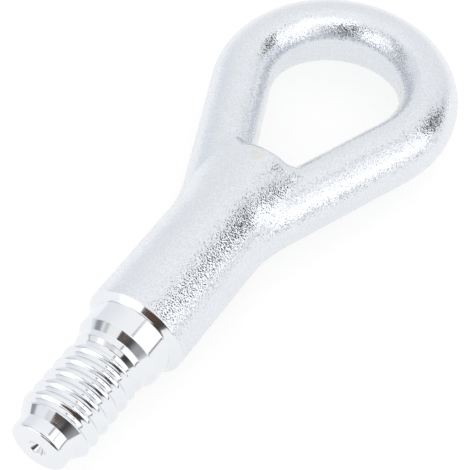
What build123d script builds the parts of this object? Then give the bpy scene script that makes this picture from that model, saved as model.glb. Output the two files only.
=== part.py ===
from build123d import *
from math import cos, pi, radians, sin, sqrt, tan
import os

# All sizes in mm. While it is built, X runs along the shank from the shoulder towards the eye,
# Y across the eye and Z up, square to the plane of the eye. The shank's axis is Y = Z = 0.
# At the end it is moved so that the lowest point is at Z = 0 under the middle of its length.

# Shank, and the nose its round top ends in above the eye
SHANK_R = 12.2
CREST_DROP = 0.65
NOSE_X = 51.7
NOSE_SWEEP = 0.015
NOSE_LENGTH = 5.0

# Outside line of the eye: side of the shank, hollow flare, straight leg, round end
LOOP_X = 86.7
LOOP_R = 30.9
LEG_ANGLE = radians(22.35)
FLARE_R = 38.0

# Inside line of the eye: the punched wall, a teardrop that narrows to the crotch
EYE_X = 87.3
EYE_R = 16.3
EYE_ANGLE = radians(22.3)
CROTCH_R = 5.5

# Section of the eye's bar: round outside, rounded shoulder inside, flat punched land
BAR_HALF_HEIGHT = 8.35
BAR_RIDGE = 8.5
LAND_HALF_HEIGHT = 3.1
SHOULDER_POWER = 2.5
LAND_REACH = 1.1
VALLEY = 3.8
VALLEY_RAMP = 14.0
NOSE_VALLEY = 3.0
NOSE_VALLEY_X = 50.0
NOSE_VALLEY_RAMP = 5.0

# Turned stud: distances down the axis from the shoulder, and radii
SHOULDER_R = 12.15
SHOULDER_CONE = 1.1
NECK_R = 10.2
NECK_FILLET = 0.3
NECK_END = 6.75
RING_R = 8.8
RING_START = 8.8
RING_END = 10.2
RELIEF_R = 7.75
RELIEF_START = 11.3
RELIEF_END = 12.3
THREAD_R = 9.0
LEAD_IN = 0.6
THREAD_END = 29.4
DOG_R = 6.85
DOG_START = 32.3
TIP = 35.7
TIP_EDGE = 1.1

# Thread: right hand, single start, flat crests, straight flanks, rounded root
PITCH = 3.5
ROOT_R = 7.95
ROOT_HALF_WIDTH = 0.55
GAP_HALF_WIDTH = 1.3
THREAD_START = -33.55
THREAD_TRAVEL = 21.75
ROOT_SAG = 0.15
GROOVE_CLEAR = 0.3

# Centre drilling in the tip
CENTRE_R = 2.2
CENTRE_CONE_DEPTH = 1.9
CENTRE_PILOT_R = 0.8
CENTRE_DEPTH = 3.4

# Outside line: where the leg would meet the shank's side, and where the flare begins
LEG_MEETS_SHANK = LOOP_X - (LOOP_R - SHANK_R * cos(LEG_ANGLE)) / sin(LEG_ANGLE)
FLARE_X = LEG_MEETS_SHANK - FLARE_R * tan(LEG_ANGLE / 2)
LEG_LINE = LOOP_R - LOOP_X * sin(LEG_ANGLE)

# Inside line: distance of the straight wall, and centre of the arc at the crotch
EYE_LINE = EYE_R - EYE_X * sin(EYE_ANGLE)
CROTCH_ARC_X = EYE_X - (EYE_R - CROTCH_R) / sin(EYE_ANGLE)
CROTCH_X = CROTCH_ARC_X - CROTCH_R

# Stations along each stretch of the outside line, and points on a section
SHANK_STATIONS = 12
FLARE_STATIONS = 9
LEG_STATIONS = 18
LOOP_STATIONS = 30
INNER_POINTS = 12
OUTER_POINTS = 10
OVERLAP = 1.0
PAST_WALL = 0.7


def smooth_step(value):
    """Rise from 0 to 1 with level ends."""
    t = min(max(value, 0.0), 1.0)
    return t * t * (3 - 2 * t)


def soft_max(a, b, reach):
    """The larger of two heights, with the crease between them rounded over the given reach."""
    if reach < 1e-9:
        return max(a, b)
    near = max(reach - abs(a - b), 0.0) / reach
    return max(a, b) + near * near * reach / 4


def outside_line():
    """Stations (x, y, normal x, normal y) along half the outside, from the shoulder to the far end."""
    stations = []
    for i in range(SHANK_STATIONS):
        stations.append((FLARE_X * i / SHANK_STATIONS, SHANK_R, 0.0, 1.0))
    for i in range(FLARE_STATIONS):
        a = LEG_ANGLE * i / (FLARE_STATIONS - 1)
        x = FLARE_X + FLARE_R * sin(a)
        y = SHANK_R + FLARE_R * (1 - cos(a))
        stations.append((x, y, -sin(a), cos(a)))
    leg_start = stations[-1]
    leg_end_x = LOOP_X - LOOP_R * sin(LEG_ANGLE)
    leg_end_y = LOOP_R * cos(LEG_ANGLE)
    for i in range(1, LEG_STATIONS):
        k = i / LEG_STATIONS
        x = leg_start[0] + (leg_end_x - leg_start[0]) * k
        y = leg_start[1] + (leg_end_y - leg_start[1]) * k
        stations.append((x, y, -sin(LEG_ANGLE), cos(LEG_ANGLE)))
    for i in range(LOOP_STATIONS):
        a = (pi / 2 + LEG_ANGLE) * (1 - i / (LOOP_STATIONS - 1))
        stations.append((LOOP_X + LOOP_R * cos(a), LOOP_R * sin(a), cos(a), sin(a)))
    return stations


def wall_depth(x, y, nx, ny):
    """Depth of the punched wall inwards from a station, square to the outside line."""
    facing = ny * cos(EYE_ANGLE) - nx * sin(EYE_ANGLE)
    offset = y * cos(EYE_ANGLE) - x * sin(EYE_ANGLE) - EYE_LINE
    on_leg = offset / facing if facing > 0.2 else 0.0
    along = (x - EYE_X) * nx + y * ny
    inside = along * along - (x - EYE_X) ** 2 - y * y + EYE_R * EYE_R
    if inside < 0.0:
        return on_leg
    on_round = along - sqrt(inside)
    if x - nx * on_round < EYE_X - EYE_R * sin(EYE_ANGLE):
        return on_leg
    return on_round


def dome_height(x, y):
    """Height of the shank's round top, which sinks a little to the crotch and ends in a rounded nose."""
    share = 1 - CREST_DROP / SHANK_R * smooth_step((x - FLARE_X) / (CROTCH_X - FLARE_X))
    past = max((x - NOSE_X + NOSE_SWEEP * y * y) / NOSE_LENGTH, 0.0)
    return share * sqrt(max(SHANK_R ** 2 - y * y, 0.0)) * sqrt(max(1 - past * past, 0.0))


def bar_height(u, wall):
    """Height of the eye's bar at depth u from its outside, where its wall is at the given depth."""
    if u < BAR_RIDGE:
        return BAR_HALF_HEIGHT * sqrt(max(1 - (1 - u / BAR_RIDGE) ** 2, 0.0))
    t = min((u - BAR_RIDGE) / (wall - BAR_RIDGE), LAND_REACH)
    return BAR_HALF_HEIGHT - (BAR_HALF_HEIGHT - LAND_HALF_HEIGHT) * t ** SHOULDER_POWER


def skin_height(x, y, u, wall):
    """Height of the forging's skin above the plane of the eye."""
    if x <= FLARE_X:
        return dome_height(x, y)
    bar = bar_height(u, wall)
    reach = VALLEY * smooth_step((x - FLARE_X) / VALLEY_RAMP)
    reach += NOSE_VALLEY * smooth_step((x - NOSE_VALLEY_X) / NOSE_VALLEY_RAMP)
    return soft_max(dome_height(x, y), bar, reach * bar / BAR_HALF_HEIGHT)


def section_points(station):
    """Upright section of the half forging: inner top, over the outside, to inner bottom."""
    x, y, nx, ny = station
    wall = wall_depth(x, y, nx, ny) if x > CROTCH_X - 12 else LEG_LINE - EYE_LINE
    depth = wall + PAST_WALL
    if x < CROTCH_ARC_X:
        to_middle = (y + OVERLAP) / ny
        depth = to_middle + (depth - to_middle) * smooth_step((x - CROTCH_X + 5) / 11)
    depths = []
    for i in range(INNER_POINTS):
        depths.append(BAR_RIDGE + (depth - BAR_RIDGE) * (1 - i / INNER_POINTS))
    for i in range(OUTER_POINTS):
        depths.append(BAR_RIDGE * (1 - sin(pi / 2 * i / OUTER_POINTS)))
    upper = []
    for u in depths:
        px = x - nx * u
        py = y - ny * u
        upper.append((px, py, skin_height(px, py, u, wall)))
    lower = [(px, py, -pz) for px, py, pz in reversed(upper)]
    return upper + [(x, y, 0.0)] + lower


def chord_shares(points):
    """Share of a section's length at each of its points."""
    lengths = [0.0]
    for a, b in zip(points[:-1], points[1:]):
        lengths.append(lengths[-1] + (Vector(*b) - Vector(*a)).length)
    return [length / lengths[-1] for length in lengths]


def forged_body():
    """Shank and eye as forged, before the eye is punched: a loft of one half, mirrored."""
    rows = [section_points(station) for station in outside_line()]
    shares = [chord_shares(row) for row in rows]
    common = [sum(column) / len(shares) for column in zip(*shares)]
    wires = []
    for row in rows:
        curve = Edge.make_spline([Vector(*p) for p in row], parameters=common)
        back = Edge.make_line(Vector(*row[-1]), Vector(*row[0]))
        wires.append(Wire([curve, back]))
    half = Solid.make_loft(wires)
    half = half & Pos(LOOP_X, 2 * LOOP_R, 0) * Box(4 * LOOP_X, 4 * LOOP_R, 4 * SHANK_R)
    return half + half.mirror(Plane.XZ)


def eye_punch():
    """Upright teardrop prism that the eye's hole is punched with."""
    leg_x = EYE_X - EYE_R * sin(EYE_ANGLE)
    leg_y = EYE_R * cos(EYE_ANGLE)
    crotch_x = CROTCH_ARC_X - CROTCH_R * sin(EYE_ANGLE)
    crotch_y = CROTCH_R * cos(EYE_ANGLE)
    outline = [
        ThreePointArc((leg_x, leg_y), (EYE_X + EYE_R, 0), (leg_x, -leg_y)),
        Line((leg_x, -leg_y), (crotch_x, -crotch_y)),
        ThreePointArc((crotch_x, -crotch_y), (CROTCH_X, 0), (crotch_x, crotch_y)),
        Line((crotch_x, crotch_y), (leg_x, leg_y)),
    ]
    return extrude(make_face(outline), amount=2 * SHANK_R, both=True)


def stud_blank():
    """Turned stud about Z, shoulder at Z = 0 and tip below, before the thread is cut."""
    seat = SHOULDER_CONE
    profile = [
        Polyline((0, 0), (SHOULDER_R, 0), (NECK_R + NECK_FILLET, -seat)),
        ThreePointArc((NECK_R + NECK_FILLET, -seat),
                      (NECK_R + NECK_FILLET * (1 - sin(pi / 4)), -seat - NECK_FILLET * (1 - cos(pi / 4))),
                      (NECK_R, -seat - NECK_FILLET)),
        Polyline((NECK_R, -seat - NECK_FILLET), (NECK_R, -NECK_END), (RING_R, -RING_START),
                 (RING_R, -RING_END), (RELIEF_R, -RELIEF_START), (RELIEF_R, -RELIEF_END),
                 (THREAD_R, -RELIEF_END - LEAD_IN), (THREAD_R, -THREAD_END), (DOG_R, -DOG_START),
                 (DOG_R, TIP_EDGE - TIP)),
        ThreePointArc((DOG_R, TIP_EDGE - TIP),
                      (DOG_R - TIP_EDGE * (1 - cos(pi / 4)), TIP_EDGE * (1 - sin(pi / 4)) - TIP),
                      (DOG_R - TIP_EDGE, -TIP)),
        Polyline((DOG_R - TIP_EDGE, -TIP), (CENTRE_R, -TIP), (CENTRE_PILOT_R, CENTRE_CONE_DEPTH - TIP),
                 (CENTRE_PILOT_R, CENTRE_DEPTH - TIP), (0, CENTRE_DEPTH - TIP), (0, 0)),
    ]
    face = Plane.XZ * make_face(profile)
    return revolve(face, Axis.Z)


def thread_groove():
    """Helical groove between the thread's crests, from past the tip's cone up to the relief."""
    slope = (GAP_HALF_WIDTH - ROOT_HALF_WIDTH) / (THREAD_R - ROOT_R)
    clear_r = THREAD_R + GROOVE_CLEAR
    clear_half = GAP_HALF_WIDTH + GROOVE_CLEAR * slope
    shoulder_r = ROOT_R + ROOT_SAG
    shoulder_half = ROOT_HALF_WIDTH + ROOT_SAG * slope
    z = THREAD_START
    outline = [
        Polyline((shoulder_r, z + shoulder_half), (clear_r, z + clear_half), (clear_r, z - clear_half),
                 (shoulder_r, z - shoulder_half)),
        ThreePointArc((shoulder_r, z - shoulder_half), (ROOT_R, z), (shoulder_r, z + shoulder_half)),
    ]
    section = Plane.XZ * make_face(outline)
    path = Helix(PITCH, THREAD_TRAVEL, THREAD_R, center=(0, 0, THREAD_START))
    return sweep(section, path, is_frenet=True)


def tow_eye():
    """The whole forging: shank and eye, punched hole, turned stud with its thread."""
    stud_plane = Plane(origin=(0, 0, 0), x_dir=(0, 1, 0), z_dir=(1, 0, 0))
    stud = stud_plane * (stud_blank() - thread_groove())
    body = forged_body() - eye_punch()
    middle = (LOOP_X + LOOP_R - TIP) / 2
    return Pos(-middle, 0, SHANK_R) * (body + stud)


os.makedirs("parts", exist_ok=True)
part = tow_eye()
export_step(part, "parts/tow_eye.step")
print("solids", len(part.solids()), "faces", len(part.faces()), "valid", part.is_valid)
print("volume", part.volume, "box", part.bounding_box().min, part.bounding_box().max)
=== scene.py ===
import bmesh
import bpy
import numpy as np
from mathutils import Matrix


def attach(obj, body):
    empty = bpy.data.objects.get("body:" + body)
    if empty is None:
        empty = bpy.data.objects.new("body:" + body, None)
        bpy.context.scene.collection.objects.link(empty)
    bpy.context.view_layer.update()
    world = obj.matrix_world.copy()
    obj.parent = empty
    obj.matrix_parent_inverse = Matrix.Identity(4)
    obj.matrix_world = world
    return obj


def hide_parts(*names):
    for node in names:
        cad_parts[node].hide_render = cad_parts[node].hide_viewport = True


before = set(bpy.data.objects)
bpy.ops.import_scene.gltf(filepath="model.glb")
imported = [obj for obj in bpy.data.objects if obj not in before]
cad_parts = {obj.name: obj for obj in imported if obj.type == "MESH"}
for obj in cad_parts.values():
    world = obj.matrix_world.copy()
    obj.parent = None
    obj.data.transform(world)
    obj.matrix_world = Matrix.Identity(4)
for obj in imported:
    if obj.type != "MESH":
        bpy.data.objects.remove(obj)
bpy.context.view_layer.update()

# Sizes in mm, as in the solid. X runs along the shank from the shoulder towards the eye, Y across
# the eye, Z up, and the shank's axis is Y = Z = 0 until the finished skin is moved into the frame.
SHANK_R = 12.2
CREST_DROP = 0.65
NOSE_X = 51.7
NOSE_SWEEP = 0.015
NOSE_LENGTH = 5.0
LOOP_X = 86.7
LOOP_R = 30.9
LEG_ANGLE = np.radians(22.35)
FLARE_R = 38.0
EYE_X = 87.3
EYE_R = 16.3
EYE_ANGLE = np.radians(22.3)
CROTCH_R = 5.5
BAR_HALF_HEIGHT = 8.35
BAR_RIDGE = 8.5
LAND_HALF_HEIGHT = 3.1
SHOULDER_POWER = 2.5
LAND_REACH = 1.1
VALLEY = 3.8
VALLEY_RAMP = 14.0
NOSE_VALLEY = 3.0
NOSE_VALLEY_X = 50.0
NOSE_VALLEY_RAMP = 5.0
SHOULDER_CONE = 1.1
NECK_R = 10.2
NECK_FILLET = 0.3
NECK_END = 6.75
RING_R = 8.8
RING_START = 8.8
RING_END = 10.2
RELIEF_R = 7.75
RELIEF_START = 11.3
RELIEF_END = 12.3
THREAD_R = 9.0
LEAD_IN = 0.6
THREAD_END = 29.4
DOG_R = 6.85
DOG_START = 32.3
TIP = 35.7
TIP_EDGE = 1.1
PITCH = 3.5
ROOT_R = 7.95
ROOT_HALF_WIDTH = 0.55
GAP_HALF_WIDTH = 1.3
THREAD_START = -33.55
CENTRE_R = 2.2
CENTRE_CONE_DEPTH = 1.9
CENTRE_PILOT_R = 0.8
CENTRE_DEPTH = 3.4

# Places worked out from the sizes
LEG_MEETS_SHANK = LOOP_X - (LOOP_R - SHANK_R * np.cos(LEG_ANGLE)) / np.sin(LEG_ANGLE)
FLARE_X = LEG_MEETS_SHANK - FLARE_R * np.tan(LEG_ANGLE / 2)
LEG_LINE = LOOP_R - LOOP_X * np.sin(LEG_ANGLE)
EYE_LINE = EYE_R - EYE_X * np.sin(EYE_ANGLE)
CROTCH_ARC_X = EYE_X - (EYE_R - CROTCH_R) / np.sin(EYE_ANGLE)
CROTCH_X = CROTCH_ARC_X - CROTCH_R
MIDDLE = (LOOP_X + LOOP_R - TIP) / 2
MM = 0.001

# Small edge radii that catch the light, and what softens the thread
SHANK_EDGE = 0.25
PUNCH_EDGE = 0.55
PUNCH_EDGE_RAMP = 1.2
SHOULDER_EDGE = 0.18
NECK_EDGE = 0.16
RING_EDGE = 0.12
RING_LOW_EDGE = 0.14
RELIEF_EDGE = 0.2
CENTRE_EDGE = 0.15
PILOT_EDGE = 0.1
EDGE_LEAD = 0.06
GROOVE_SOFTNESS = 0.16
TRIM_SOFTNESS = 0.12
RUN_OUT = 0.6
CLEAR_OF_CREST = 1.5

# The grids' counts and limits; the last two are in metres
SHANK_STEPS = 16
FLARE_STEPS = 22
CROTCH_STEPS = 10
LEG_STEPS = 46
LEG_ROW = 0.75
LOOP_STEPS = 72
INNER_STEPS = 20
OUTER_STEPS = 32
EDGE_STEPS = 4
WALL_STEPS = 8
RIDGE_SHARE = 0.7
LEAST_FACING = 0.2
LEAST_SLOPE = 0.05
WALL_LEAD = 12.0
THREAD_ROWS = 24
RIBBON_BOTTOM = -32.6
RIBBON_PITCHES = 6
RIBBON_TOP = RIBBON_BOTTOM + RIBBON_PITCHES * PITCH
WELD = 2e-6
SLIVER = 5e-7

# Finish: lengths in metres, scales in cells to the metre, tones as linear colours
GRAIN_SCALE = 2700.0
GRAIN_HEIGHT = 0.00005
FACET_SCALE = 4300.0
FACET_LEAN = (0.08, 0.26, 0.26)
BLASTED_CLOUD = 120.0
BLASTED_DULL = (0.795, 0.82, 0.86, 1)
BLASTED_BRIGHT = (0.83, 0.85, 0.885, 1)
SPECK_TONE = (0.45, 0.47, 0.5, 1)
SPECK_SHARE = 0.22
STAIN_PLACE = (0.0093, 0.0003, 0.0238)
STAIN_STRETCH = (1.0, 0.65, 1.0)
STAIN_CORE = 0.0003
STAIN_REACH = 0.0017
STAIN_TONE = (0.78, 0.68, 0.46, 1)
TOOL_MARK_SCALE = (9000.0, 60.0, 60.0)
TOOL_MARK_HEIGHT = 0.00002
TURNED_CLOUD = 160.0
TURNED_DULL = (0.80, 0.82, 0.855, 1)
TURNED_BRIGHT = (0.84, 0.855, 0.88, 1)
CARD_BROWN = (0.15, 0.095, 0.075, 1)
CARD_DARK = (0.09, 0.085, 0.082, 1)
CARD_GREY = (0.6, 0.6, 0.61, 1)

# Camera: focal length in pixels of a square picture of this many pixels, and the sensor in mm
FOCAL_PIXELS = 1596.775
PICTURE_PIXELS = 470
SENSOR = 36.0


def smooth_step(value):
    """Rise from 0 to 1 with level ends: t squared times (3 - 2t), t held between 0 and 1."""
    t = np.clip(value, 0.0, 1.0)
    return t * t * (3 - 2 * t)


def outside_line():
    """Half the outside as rows (x, y, normal x, normal y): straight shank side, hollow arc of the
    flare, straight leg, round end. One row lies where its normal meets the crotch's apex."""
    x = np.linspace(SHANK_EDGE, FLARE_X, SHANK_STEPS, endpoint=False)
    shank = np.stack([x, 0 * x + SHANK_R, 0 * x, 0 * x + 1], 1)
    a = np.linspace(0, LEG_ANGLE, FLARE_STEPS, endpoint=False)
    flare = np.stack([FLARE_X + FLARE_R * np.sin(a), SHANK_R + FLARE_R * (1 - np.cos(a)),
                      -np.sin(a), np.cos(a)], 1)
    start = np.array([FLARE_X + FLARE_R * np.sin(LEG_ANGLE), SHANK_R + FLARE_R * (1 - np.cos(LEG_ANGLE))])
    along = np.array([np.cos(LEG_ANGLE), np.sin(LEG_ANGLE)])
    end = np.array([LOOP_X - LOOP_R * np.sin(LEG_ANGLE), LOOP_R * np.cos(LEG_ANGLE)])
    length = np.linalg.norm(end - start)
    reach = start[0] + start[1] * np.tan(LEG_ANGLE)
    apex = (CROTCH_X - reach) / (along[0] + along[1] * np.tan(LEG_ANGLE))
    s = np.concatenate([np.linspace(0, apex, CROTCH_STEPS, endpoint=False),
                        np.linspace(apex, length, LEG_STEPS, endpoint=False)])[:, None]
    leg = np.concatenate([start + along * s, np.repeat([[-along[1], along[0]]], len(s), 0)], 1)
    a = np.linspace(np.pi / 2 + LEG_ANGLE, 0, LOOP_STEPS)
    loop = np.stack([LOOP_X + LOOP_R * np.cos(a), LOOP_R * np.sin(a), np.cos(a), np.sin(a)], 1)
    first_punched = SHANK_STEPS + FLARE_STEPS + CROTCH_STEPS
    return np.concatenate([shank, flare, leg, loop]), first_punched


def wall_depth(rows):
    """Depth of the punched wall along each row's inward normal: the ray's meeting with the straight
    wall line, or with the eye's round end where that lies past the line's end."""
    x, y, nx, ny = rows.T
    facing = ny * np.cos(EYE_ANGLE) - nx * np.sin(EYE_ANGLE)
    offset = y * np.cos(EYE_ANGLE) - x * np.sin(EYE_ANGLE) - EYE_LINE
    on_leg = np.where(facing > LEAST_FACING, offset / np.where(facing > LEAST_FACING, facing, 1), 0)
    along = (x - EYE_X) * nx + y * ny
    inside = along * along - (x - EYE_X) ** 2 - y * y + EYE_R ** 2
    on_round = along - np.sqrt(np.maximum(inside, 0))
    is_round = (inside > 0) & (x - nx * on_round >= EYE_X - EYE_R * np.sin(EYE_ANGLE))
    depth = np.where(is_round, on_round, on_leg)
    return np.where(x > CROTCH_X - WALL_LEAD, depth, LEG_LINE - EYE_LINE)


def skin_depth(rows, first_punched):
    """Depth at which the skin ends: at the middle plane before the apex, then at the crotch's arc
    where the ray meets it, then at the punched wall."""
    x, y, nx, ny = rows.T
    along = (x - CROTCH_ARC_X) * nx + y * ny
    inside = along * along - (x - CROTCH_ARC_X) ** 2 - y * y + CROTCH_R ** 2
    on_arc = along - np.sqrt(np.maximum(inside, 0))
    arc_x = x - nx * on_arc
    arc_y = y - ny * on_arc
    is_arc = (inside > 0) & (arc_x <= CROTCH_ARC_X - CROTCH_R * np.sin(EYE_ANGLE)) & (arc_y > -1e-6)
    depth = np.where(is_arc & (x < LOOP_X), on_arc, wall_depth(rows))
    to_middle = y / np.maximum(ny, LEAST_SLOPE)
    before = np.arange(len(rows)) <= first_punched
    return np.where(before, to_middle, depth)


def dome_height(x, y):
    """Top of the shank: its round sinks a little on the way to the crotch and ends in a
    quarter-ellipse nose, which starts sooner with the square of the distance from the middle."""
    share = 1 - CREST_DROP / SHANK_R * smooth_step((x - FLARE_X) / (CROTCH_X - FLARE_X))
    past = np.maximum((x - NOSE_X + NOSE_SWEEP * y ** 2) / NOSE_LENGTH, 0)
    return share * np.sqrt(np.maximum(SHANK_R ** 2 - y ** 2, 0)) * np.sqrt(np.maximum(1 - past ** 2, 0))


def bar_height(u, wall):
    """Top of the eye's bar at depth u: a quarter ellipse up to the ridge, then a power curve down to
    the punched land."""
    outer = BAR_HALF_HEIGHT * np.sqrt(np.maximum(1 - (1 - u / BAR_RIDGE) ** 2, 0))
    t = np.clip((u - BAR_RIDGE) / (wall - BAR_RIDGE), 0, LAND_REACH)
    inner = BAR_HALF_HEIGHT - (BAR_HALF_HEIGHT - LAND_HALF_HEIGHT) * t ** SHOULDER_POWER
    return np.where(u < BAR_RIDGE, outer, inner)


def skin_height(x, y, u, wall):
    """Larger of dome and bar, with the valley between them rounded over a reach that grows from the
    start of the flare and once more at the nose."""
    bar = bar_height(u, wall)
    dome = dome_height(x, y)
    reach = VALLEY * smooth_step((x - FLARE_X) / VALLEY_RAMP)
    reach = reach + NOSE_VALLEY * smooth_step((x - NOSE_VALLEY_X) / NOSE_VALLEY_RAMP)
    reach = np.maximum(reach * bar / BAR_HALF_HEIGHT, 1e-9)
    near = np.maximum(reach - np.abs(bar - dome), 0) / reach
    joined = np.maximum(bar, dome) + near ** 2 * reach / 4
    return np.where(x <= FLARE_X, dome, joined)


def skin_points(rows, u, wall):
    """Points at depth u along each row's inward normal, at the skin's height."""
    x = rows[:, :1] - rows[:, 2:3] * u
    y = rows[:, 1:2] - rows[:, 3:4] * u
    return np.stack([x, y, skin_height(x, y, u, wall)], 2)


def upper_skin():
    """Quarter of the forging: each row runs from the outside line up over the bar and down to the
    crotch plane or the punched edge, which is turned over a small quarter round into the wall."""
    rows, first_punched = outside_line()
    wall = wall_depth(rows)[:, None]
    end = skin_depth(rows, first_punched)[:, None]
    from_apex = (np.arange(len(rows)) - first_punched)[:, None] * LEG_ROW
    edge = PUNCH_EDGE * smooth_step(from_apex / PUNCH_EDGE_RAMP)
    ridge = np.minimum(BAR_RIDGE, end * RIDGE_SHARE)
    a = np.linspace(0, np.pi / 2, OUTER_STEPS, endpoint=False)
    outer = ridge * (1 - np.cos(a))
    inner = ridge + (end - edge - ridge) * np.linspace(0, 1, INNER_STEPS + 1)
    skin = skin_points(rows, np.concatenate([outer, inner], 1), wall)
    skin[:, 0, 2] = 0
    t = np.linspace(0, np.pi / 2, EDGE_STEPS + 1)
    turned = skin_points(rows, end - edge * (1 - np.sin(t)), wall)
    turned[:, :, 2] -= edge * (1 - np.cos(t))
    fall = np.linspace(1, 0, WALL_STEPS + 1)[1:]
    down = turned[:, -1:] * np.stack([0 * fall + 1, 0 * fall + 1, fall], 1)
    rim = np.concatenate([turned, down], 1)[first_punched:]
    return skin, rim


def rounded_profile(corners):
    """Turned outline from rows (x, r, radius): every corner becomes a quadratic curve that leaves it
    by its radius, and each straight run has a point close to both of its ends."""
    corners = np.array(corners)
    p = corners[:, :2]
    ahead = np.diff(p, axis=0)
    run = np.linalg.norm(ahead, axis=1, keepdims=True)
    ahead = ahead / run
    radius = corners[1:-1, 2:]
    before = p[1:-1] - ahead[:-1] * radius
    after = p[1:-1] + ahead[1:] * radius
    t = np.linspace(0, 1, 5)[None, :, None]
    curve = (1 - t) ** 2 * before[:, None] + 2 * t * (1 - t) * p[1:-1, None] + t ** 2 * after[:, None]
    lead = np.concatenate([before[:, None] - EDGE_LEAD * ahead[:-1, None], curve,
                           after[:, None] + EDGE_LEAD * ahead[1:, None]], 1)
    return np.concatenate([p[:1], lead.reshape(-1, 2), p[-1:]])


def turned_rings(profile, azimuths):
    """Profile (x, r) carried round the shank's axis through the given azimuths."""
    x = np.repeat(profile[:, :1], len(azimuths), 1)
    return np.stack([x, profile[:, 1:] * np.cos(azimuths), profile[:, 1:] * np.sin(azimuths)], 2)


def blank_radius(x):
    """Radius of the stud beside the thread: relief, lead-in slope, tip's cone and dog. Between the
    two slopes it stands above the crests, so that only the slopes trim the thread."""
    lead_in = (THREAD_R - RELIEF_R) / LEAD_IN
    cone = (THREAD_R - DOG_R) / (DOG_START - THREAD_END)
    top = RELIEF_R + np.maximum(-RELIEF_END - x, 0) * lead_in
    low = DOG_R + np.maximum(x + DOG_START, 0) * cone
    return np.minimum(np.minimum(top, low), THREAD_R + CLEAR_OF_CREST)


def thread_radius(x, azimuth):
    """Radius of the stud where it is threaded: the crest less a trapezoid groove whose corners are
    rounded by a hyperbola, along a right-hand helix, and no more than the blank's radius."""
    s = np.mod(x - THREAD_START - PITCH * azimuth / (2 * np.pi) + PITCH / 2, PITCH) - PITCH / 2
    t = (GAP_HALF_WIDTH - np.abs(s)) / (GAP_HALF_WIDTH - ROOT_HALF_WIDTH)
    soft = GROOVE_SOFTNESS
    depth = (np.sqrt(t ** 2 + soft ** 2) - np.sqrt((1 - t) ** 2 + soft ** 2) + 1) / 2
    run_out = smooth_step((-x - RELIEF_END + RUN_OUT) / RUN_OUT)
    crest = THREAD_R - (THREAD_R - ROOT_R) * depth * run_out
    blank = blank_radius(x)
    return (crest + blank - np.sqrt((crest - blank) ** 2 + TRIM_SOFTNESS ** 2)) / 2


def thread_ribbon(azimuths):
    """The thread as one ribbon wound up the stud, a pitch wide: between the helix x = pitch times
    turns and the same helix one turn on, held at the ribbon's two end rings."""
    turns = RIBBON_PITCHES + 1
    angle = np.concatenate([azimuths + 2 * np.pi * k for k in range(turns)] + [[2 * np.pi * turns]])
    climb = RIBBON_BOTTOM + PITCH * angle / (2 * np.pi)
    low = np.clip(climb - PITCH, RIBBON_BOTTOM, RIBBON_TOP)[:, None]
    high = np.clip(climb, RIBBON_BOTTOM, RIBBON_TOP)[:, None]
    x = low + (high - low) * np.linspace(0, 1, THREAD_ROWS + 1)
    r = thread_radius(x, angle[:, None])
    return np.stack([x, r * np.cos(angle)[:, None], r * np.sin(angle)[:, None]], 2)


def grid_faces(count_a, count_b, first, closed=False):
    """Quads of a grid of count_a by count_b points whose first point has the given index."""
    a = np.arange(count_a - 1)[:, None]
    b = np.arange(count_b if closed else count_b - 1)[None, :]
    c = (b + 1) % count_b
    quads = np.stack([a * count_b + b, a * count_b + c, (a + 1) * count_b + c, (a + 1) * count_b + b], 2)
    return quads.reshape(-1, 4) + first


def tow_eye_skin(materials):
    """The whole surface as one closed mesh: four mirrored quarters of the forging, the punched wall,
    and the turned stud on the same azimuths as the shank's end ring."""
    skin, rim = upper_skin()
    quarter = np.arctan2(skin[0, :, 2], skin[0, :, 1])
    azimuths = np.concatenate([quarter[:-1], np.pi - quarter[:0:-1], np.pi + quarter[:-1],
                               2 * np.pi - quarter[:0:-1]])
    upper = rounded_profile([
        (SHANK_EDGE, SHANK_R, 0), (0, SHANK_R, SHOULDER_EDGE),
        (-SHOULDER_CONE, NECK_R + NECK_FILLET, RING_EDGE),
        (-SHOULDER_CONE - NECK_FILLET, NECK_R, NECK_EDGE), (-NECK_END, NECK_R, NECK_EDGE),
        (-RING_START, RING_R, RING_EDGE),
        (-RING_END, RING_R, RING_LOW_EDGE), (-RELIEF_START, RELIEF_R, RELIEF_EDGE),
        (RIBBON_TOP, RELIEF_R, 0)])
    lower = rounded_profile([
        (RIBBON_BOTTOM, DOG_R, 0), (-TIP, DOG_R, TIP_EDGE), (-TIP, CENTRE_R, CENTRE_EDGE),
        (CENTRE_CONE_DEPTH - TIP, CENTRE_PILOT_R, PILOT_EDGE),
        (CENTRE_DEPTH - TIP, CENTRE_PILOT_R, PILOT_EDGE), (CENTRE_DEPTH - TIP, 0, 0)])
    points = []
    faces = []
    slots = []
    count = 0
    for grid, slot, closed in (
            [(g * np.array([1, sy, sz]), 0, False) for g in (skin, rim) for sy in (1, -1) for sz in (1, -1)]
            + [(turned_rings(p, azimuths), 1, True) for p in (upper, lower)]
            + [(thread_ribbon(azimuths), 1, False)]):
        n, m = grid.shape[:2]
        made = grid_faces(n, m, count, closed)
        points.append(grid.reshape(-1, 3))
        faces.append(made)
        slots.append(np.full(len(made), slot))
        count += n * m
    place = np.array([-MIDDLE, 0, SHANK_R])
    mesh = bpy.data.meshes.new("tow_eye_skin")
    mesh.from_pydata((np.concatenate(points) + place) * MM, [], np.concatenate(faces))
    mesh.polygons.foreach_set("material_index", np.concatenate(slots).astype(np.int32))
    for material in materials:
        mesh.materials.append(material)
    welded = bmesh.new()
    welded.from_mesh(mesh)
    bmesh.ops.remove_doubles(welded, verts=welded.verts, dist=WELD)
    bmesh.ops.dissolve_degenerate(welded, edges=welded.edges, dist=SLIVER)
    bmesh.ops.recalc_face_normals(welded, faces=welded.faces)
    welded.to_mesh(mesh)
    welded.free()
    mesh.shade_smooth()
    piece = bpy.data.objects.new("tow_eye_skin", mesh)
    bpy.context.scene.collection.objects.link(piece)
    return piece


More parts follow.
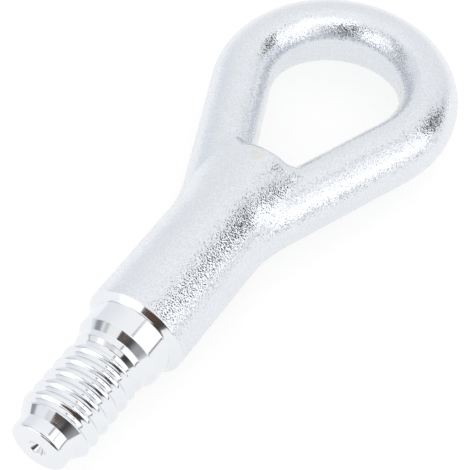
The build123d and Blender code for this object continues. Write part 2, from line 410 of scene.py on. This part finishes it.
class Nodes:
    """Short hand for one node tree: adds nodes, sets sockets and joins them."""

    def __init__(self, tree):
        self.tree = tree

    def add(self, kind, inputs=None, **settings):
        node = self.tree.nodes.new(kind)
        for name, value in settings.items():
            setattr(node, name, value)
        for name, value in (inputs or {}).items():
            socket = node.inputs[name]
            if isinstance(value, bpy.types.NodeSocket):
                self.tree.links.new(value, socket)
            else:
                socket.default_value = value
        return node

    def math(self, operation, *values):
        node = self.add("ShaderNodeMath", dict(enumerate(values)), operation=operation)
        return node.outputs[0]

    def vector(self, operation, *values):
        node = self.add("ShaderNodeVectorMath", dict(enumerate(values)), operation=operation)
        return node.outputs[0]

    def ramp(self, value, low, high, to_low=0.0, to_high=1.0, kind="SMOOTHSTEP"):
        limits = {"From Min": low, "From Max": high, "To Min": to_low, "To Max": to_high}
        node = self.add("ShaderNodeMapRange", {"Value": value, **limits}, interpolation_type=kind)
        return node.outputs["Result"]

    def window(self, value, low, high, soft):
        rise = self.ramp(value, low - soft, low + soft)
        fall = self.ramp(value, high - soft, high + soft, 1.0, 0.0)
        return self.math("MULTIPLY", rise, fall)

    def mix(self, factor, a, b, label=""):
        node = self.add("ShaderNodeMix", {"Factor": factor}, data_type="RGBA", label=label)
        for name, value in (("A", a), ("B", b)):
            socket = next(i for i in node.inputs if i.name == name and i.type == "RGBA")
            if isinstance(value, bpy.types.NodeSocket):
                self.tree.links.new(value, socket)
            else:
                socket.default_value = value
        return next(o for o in node.outputs if o.type == "RGBA")


def new_material(name):
    """Empty node material with an output and a Principled BSDF."""
    material = bpy.data.materials.new(name)
    material.use_nodes = True
    nodes = Nodes(material.node_tree)
    return material, nodes, material.node_tree.nodes["Principled BSDF"]


def cloudy_tone():
    """Node group that both finishes use: a soft cloud of noise, and the tone that it picks between a
    dull and a bright one."""
    group = bpy.data.node_groups.new("cloudy_tone", "ShaderNodeTree")
    for name, kind in (("Place", "Vector"), ("Scale", "Float"), ("Dull", "Color"), ("Bright", "Color")):
        group.interface.new_socket(name, in_out="INPUT", socket_type="NodeSocket" + kind)
    for name, kind in (("Tone", "Color"), ("Cloud", "Float")):
        group.interface.new_socket(name, in_out="OUTPUT", socket_type="NodeSocket" + kind)
    nodes = Nodes(group)
    given = nodes.add("NodeGroupInput").outputs
    noise = {"Vector": given["Place"], "Scale": given["Scale"], "Detail": 3.0}
    cloud = nodes.add("ShaderNodeTexNoise", noise).outputs["Fac"]
    nodes.add("NodeGroupOutput", {"Tone": nodes.mix(cloud, given["Dull"], given["Bright"]), "Cloud": cloud})
    return group


def blasted_plate(cloudy):
    """Zinc plate on the blasted forging: pale bluish metal broken into small facets, each leaning its
    own way, mostly across the shank, and a faint yellowish stain on the dome beside the crotch."""
    material, nodes, shader = new_material("blasted_zinc_plate")
    place = nodes.add("ShaderNodeTexCoord").outputs["Object"]
    grain = nodes.add("ShaderNodeTexNoise", {"Vector": place, "Scale": GRAIN_SCALE, "Detail": 0.0})
    bump = nodes.add("ShaderNodeBump", {"Height": grain.outputs["Fac"], "Strength": 1.0,
                                        "Distance": GRAIN_HEIGHT})
    facets = nodes.add("ShaderNodeTexVoronoi", {"Vector": place, "Scale": FACET_SCALE})
    tilt = nodes.vector("SUBTRACT", facets.outputs["Color"], (0.5, 0.5, 0.5))
    leaning = nodes.vector("MULTIPLY", tilt, FACET_LEAN)
    facing = nodes.vector("NORMALIZE", nodes.vector("ADD", bump.outputs["Normal"], leaning))
    tones = {"Place": place, "Scale": BLASTED_CLOUD, "Dull": BLASTED_DULL, "Bright": BLASTED_BRIGHT}
    clouds = nodes.add("ShaderNodeGroup", tones, node_tree=cloudy).outputs
    speck = nodes.add("ShaderNodeSeparateColor", {"Color": facets.outputs["Color"]}).outputs["Red"]
    tone = nodes.mix(nodes.ramp(speck, 0.0, 1.0, 0.0, SPECK_SHARE), clouds["Tone"], SPECK_TONE)
    offset = nodes.vector("MULTIPLY", nodes.vector("SUBTRACT", place, STAIN_PLACE), STAIN_STRETCH)
    away = nodes.add("ShaderNodeVectorMath", {"Vector": offset}, operation="LENGTH").outputs["Value"]
    stain = nodes.math("MULTIPLY", nodes.ramp(away, STAIN_CORE, STAIN_REACH, 1.0, 0.0),
                       nodes.ramp(clouds["Cloud"], 0.3, 0.6, 0.1, 0.3))
    tone = nodes.mix(stain, tone, STAIN_TONE)
    tree = material.node_tree
    tree.links.new(tone, shader.inputs["Base Color"])
    tree.links.new(facing, shader.inputs["Normal"])
    shader.inputs["Roughness"].default_value = 0.1
    shader.inputs["Metallic"].default_value = 1.0
    return material


def turned_plate(cloudy):
    """Bright zinc plate on the turned stud: near mirror, with faint tool marks round the axis."""
    material, nodes, shader = new_material("turned_zinc_plate")
    place = nodes.add("ShaderNodeTexCoord").outputs["Object"]
    lines = nodes.add("ShaderNodeMapping", {"Vector": place, "Scale": TOOL_MARK_SCALE}).outputs["Vector"]
    marks = nodes.add("ShaderNodeTexNoise", {"Vector": lines, "Scale": 1.0, "Detail": 2.0})
    bump = nodes.add("ShaderNodeBump", {"Height": marks.outputs["Fac"], "Strength": 0.15,
                                        "Distance": TOOL_MARK_HEIGHT})
    tones = {"Place": place, "Scale": TURNED_CLOUD, "Dull": TURNED_DULL, "Bright": TURNED_BRIGHT}
    clouds = nodes.add("ShaderNodeGroup", tones, node_tree=cloudy).outputs
    tree = material.node_tree
    tree.links.new(clouds["Tone"], shader.inputs["Base Color"])
    tree.links.new(nodes.ramp(clouds["Cloud"], 0.3, 0.7, 0.06, 0.11), shader.inputs["Roughness"])
    tree.links.new(bump.outputs["Normal"], shader.inputs["Normal"])
    shader.inputs["Metallic"].default_value = 1.0
    return material


def grey(level):
    """Light or colour without a tint."""
    return (level, level, level, 1)


def studio_surround():
    """White light tent seen by reflections. Its panels are placed by turn about the shank's axis (0
    over +Y, 90 overhead) and the direction's x, or by bearing from the stud's end (0 along -X, 90
    along -Y) and height above the horizon, in degrees. Later panels lie over earlier ones. The dark
    gap's near edge follows x, and it fades towards the eye's end. The camera sees plain white."""
    world = bpy.data.worlds.new("white_tent")
    bpy.context.scene.world = world
    world.use_nodes = True
    tree = world.node_tree
    nodes = Nodes(tree)
    way = nodes.add("ShaderNodeTexCoord").outputs["Generated"]
    x, y, z = nodes.add("ShaderNodeSeparateXYZ", {"Vector": way}).outputs
    turn = nodes.math("DEGREES", nodes.math("ARCTAN2", z, y))
    bearing = nodes.math("DEGREES", nodes.math("ARCTAN2", nodes.math("MULTIPLY", y, -1.0),
                                               nodes.math("MULTIPLY", x, -1.0)))
    height = nodes.math("DEGREES", nodes.math("ARCSINE", z))

    def panel(across, low, high, soft, up, bottom, top, soft_up):
        return nodes.math("MULTIPLY", nodes.window(across, low, high, soft),
                          nodes.window(up, bottom, top, soft_up))

    gap_edge = nodes.math("ADD", nodes.ramp(x, 0.56, 0.63, 125.0, 109.0, kind="LINEAR"),
                          nodes.ramp(x, 0.65, 0.69, 0.0, 33.0, kind="LINEAR"))
    past_edge = nodes.ramp(nodes.math("SUBTRACT", turn, gap_edge), -3.0, 3.0)
    gap = nodes.math("MULTIPLY", past_edge, panel(turn, 60, 158, 3, x, 0.53, 0.95, 0.012))
    gap = nodes.math("MULTIPLY", gap, nodes.ramp(x, 0.74, 0.88, 1.0, 0.0))
    panels = (
        ("blue side", panel(bearing, -118, -55, 14, height, -60, 42, 14), (0.86, 0.885, 0.93, 1)),
        ("high softbox", panel(bearing, 6, 112, 5, height, 30, 62, 5), grey(1.33)),
        ("softbox", panel(turn, 141, 172, 1.5, x, -0.30, 0.475, 0.012), grey(1.38)),
        ("softbox end", panel(turn, 119, 172, 1.5, x, 0.40, 0.475, 0.012), grey(1.45)),
        ("softbox rim", panel(turn, 137.5, 140.5, 1.0, x, 0.08, 0.40, 0.03), grey(0.2)),
        ("upper seam", panel(turn, 111, 117, 2.0, x, 0.25, 0.52, 0.03), (0.45, 0.45, 0.46, 1)),
        ("lower seam", panel(turn, 174, 178, 1.0, x, -0.1, 0.62, 0.03), grey(0.2)),
        ("strip by the gap", panel(turn, 107, 172, 4, x, 0.48, 0.535, 0.01), grey(1.3)),
        ("blue end", panel(turn, 134, 157, 4, x, 0.80, 0.94, 0.03), (0.8, 0.82, 0.87, 1)),
        ("white end", panel(turn, 166, 180, 2, x, 0.78, 0.93, 0.02), grey(1.2)),
        ("gap", gap, (0.02, 0.02, 0.022, 1)),
        ("white panel", panel(bearing, -43, -3, 2, height, -2, 28, 2), grey(1.4)),
        ("panel post", panel(bearing, -71, -60, 3, height, -2, 34, 4), (0.36, 0.36, 0.38, 1)),
        ("panel top", panel(bearing, -30, 2, 6, height, 28, 42, 5), (0.75, 0.75, 0.76, 1)),
        ("panel corner", panel(bearing, -58, -46, 4, height, 32, 44, 4), (0.6, 0.6, 0.61, 1)),
        ("low grey", panel(bearing, 34, 58, 5, height, 0, 17, 4), grey(0.45)),
    )
    light = nodes.mix(nodes.ramp(height, 30.0, 70.0), grey(0.955), grey(1.05), "tent")
    for label, mask, tone in panels:
        light = nodes.mix(mask, light, tone, label)
    path = nodes.add("ShaderNodeLightPath")
    seen = nodes.mix(path.outputs["Is Camera Ray"], light, grey(1.0), "plain white")
    tree.links.new(seen, tree.nodes["Background"].inputs["Color"])


def dark_card():
    """Brown card standing beyond the stud's end, seen only in reflections. Its near edge is cut back
    between a low strip and a high corner, and a short foot lies on the table. Its brown darkens and
    then greys along -Y."""
    far = -130.0
    side = -178.0
    back = -55.0
    standing = [(far, 14, 0), (far, side, 0), (far, side, 44), (far, back, 44), (far, 14, 42),
                (far, side, 125), (far, 16, 190), (far, 10, 108), (far, back, 80)]
    foot = [(-104, -8, 0.5), (-104, -60, 0.5), (far, -70, 0.5), (far, 4, 0.5)]
    faces = [(0, 1, 2, 3, 4), (3, 2, 5, 6, 7, 8), (9, 10, 11, 12)]
    mesh = bpy.data.meshes.new("dark_card")
    mesh.from_pydata((np.array(standing + foot) + np.array([-MIDDLE, 0, 0])) * MM, [], faces)
    card = bpy.data.objects.new("dark_card", mesh)
    bpy.context.scene.collection.objects.link(card)
    card.visible_camera = False
    card.visible_diffuse = False
    card.visible_shadow = False
    material, nodes, shader = new_material("brown_card")
    place = nodes.add("ShaderNodeTexCoord").outputs["Object"]
    y = nodes.add("ShaderNodeSeparateXYZ", {"Vector": place}).outputs["Y"]
    tone = nodes.mix(nodes.ramp(y, -0.02, -0.07), CARD_BROWN, CARD_DARK)
    tone = nodes.mix(nodes.ramp(y, -0.075, -0.135), tone, CARD_GREY)
    material.node_tree.links.new(tone, shader.inputs["Base Color"])
    shader.inputs["Roughness"].default_value = 1.0
    shader.inputs["Specular IOR Level"].default_value = 0.0
    mesh.materials.append(material)


def white_floor():
    """Large white table top at the height the part lies on; it keeps the part's shadow."""
    mesh = bpy.data.meshes.new("table_top")
    half = 3.0
    corners = [(-half, -half, 0), (half, -half, 0), (half, half, 0), (-half, half, 0)]
    mesh.from_pydata(corners, [], [(0, 1, 2, 3)])
    table = bpy.data.objects.new("table_top", mesh)
    bpy.context.scene.collection.objects.link(table)
    material, nodes, shader = new_material("white_table")
    shader.inputs["Base Color"].default_value = grey(0.32)
    shader.inputs["Roughness"].default_value = 1.0
    shader.inputs["Specular IOR Level"].default_value = 0.0
    path = nodes.add("ShaderNodeLightPath")
    seen = nodes.math("MAXIMUM", path.outputs["Is Camera Ray"], path.outputs["Is Glossy Ray"])
    seen = nodes.math("MAXIMUM", seen, path.outputs["Is Transmission Ray"])
    shader.inputs["Emission Color"].default_value = grey(1.0)
    material.node_tree.links.new(nodes.math("MULTIPLY", seen, 0.73), shader.inputs["Emission Strength"])
    mesh.materials.append(material)


def studio_camera():
    """Camera at the photograph's viewpoint, fitted to the outline: its place in the build frame and the
    three directions of picture right, picture down and forward."""
    right = np.array([0.5374819, -0.84246884, 0.03687096])
    down = np.array([-0.64721696, -0.4401536, -0.62239459])
    forward = np.array([0.54057693, 0.31066231, -0.78183471])
    eye = (np.array([-164.13889151, -118.21801719, 288.51238184]) + np.array([-MIDDLE, 0, SHANK_R])) * MM
    camera = bpy.data.objects.new("camera", bpy.data.cameras.new("camera"))
    bpy.context.scene.collection.objects.link(camera)
    turn = np.eye(4)
    turn[:3, 0] = right
    turn[:3, 1] = -down
    turn[:3, 2] = -forward
    turn[:3, 3] = eye
    camera.matrix_world = Matrix(turn)
    camera.data.sensor_width = SENSOR
    camera.data.lens = FOCAL_PIXELS / PICTURE_PIXELS * SENSOR
    camera.data.clip_start = 0.01
    bpy.context.scene.camera = camera


cloudy = cloudy_tone()
tow_eye = tow_eye_skin([blasted_plate(cloudy), turned_plate(cloudy)])
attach(tow_eye, "root")
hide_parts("tow_eye")
studio_surround()
dark_card()
white_floor()
studio_camera()
bpy.context.scene.view_settings.view_transform = "Standard"
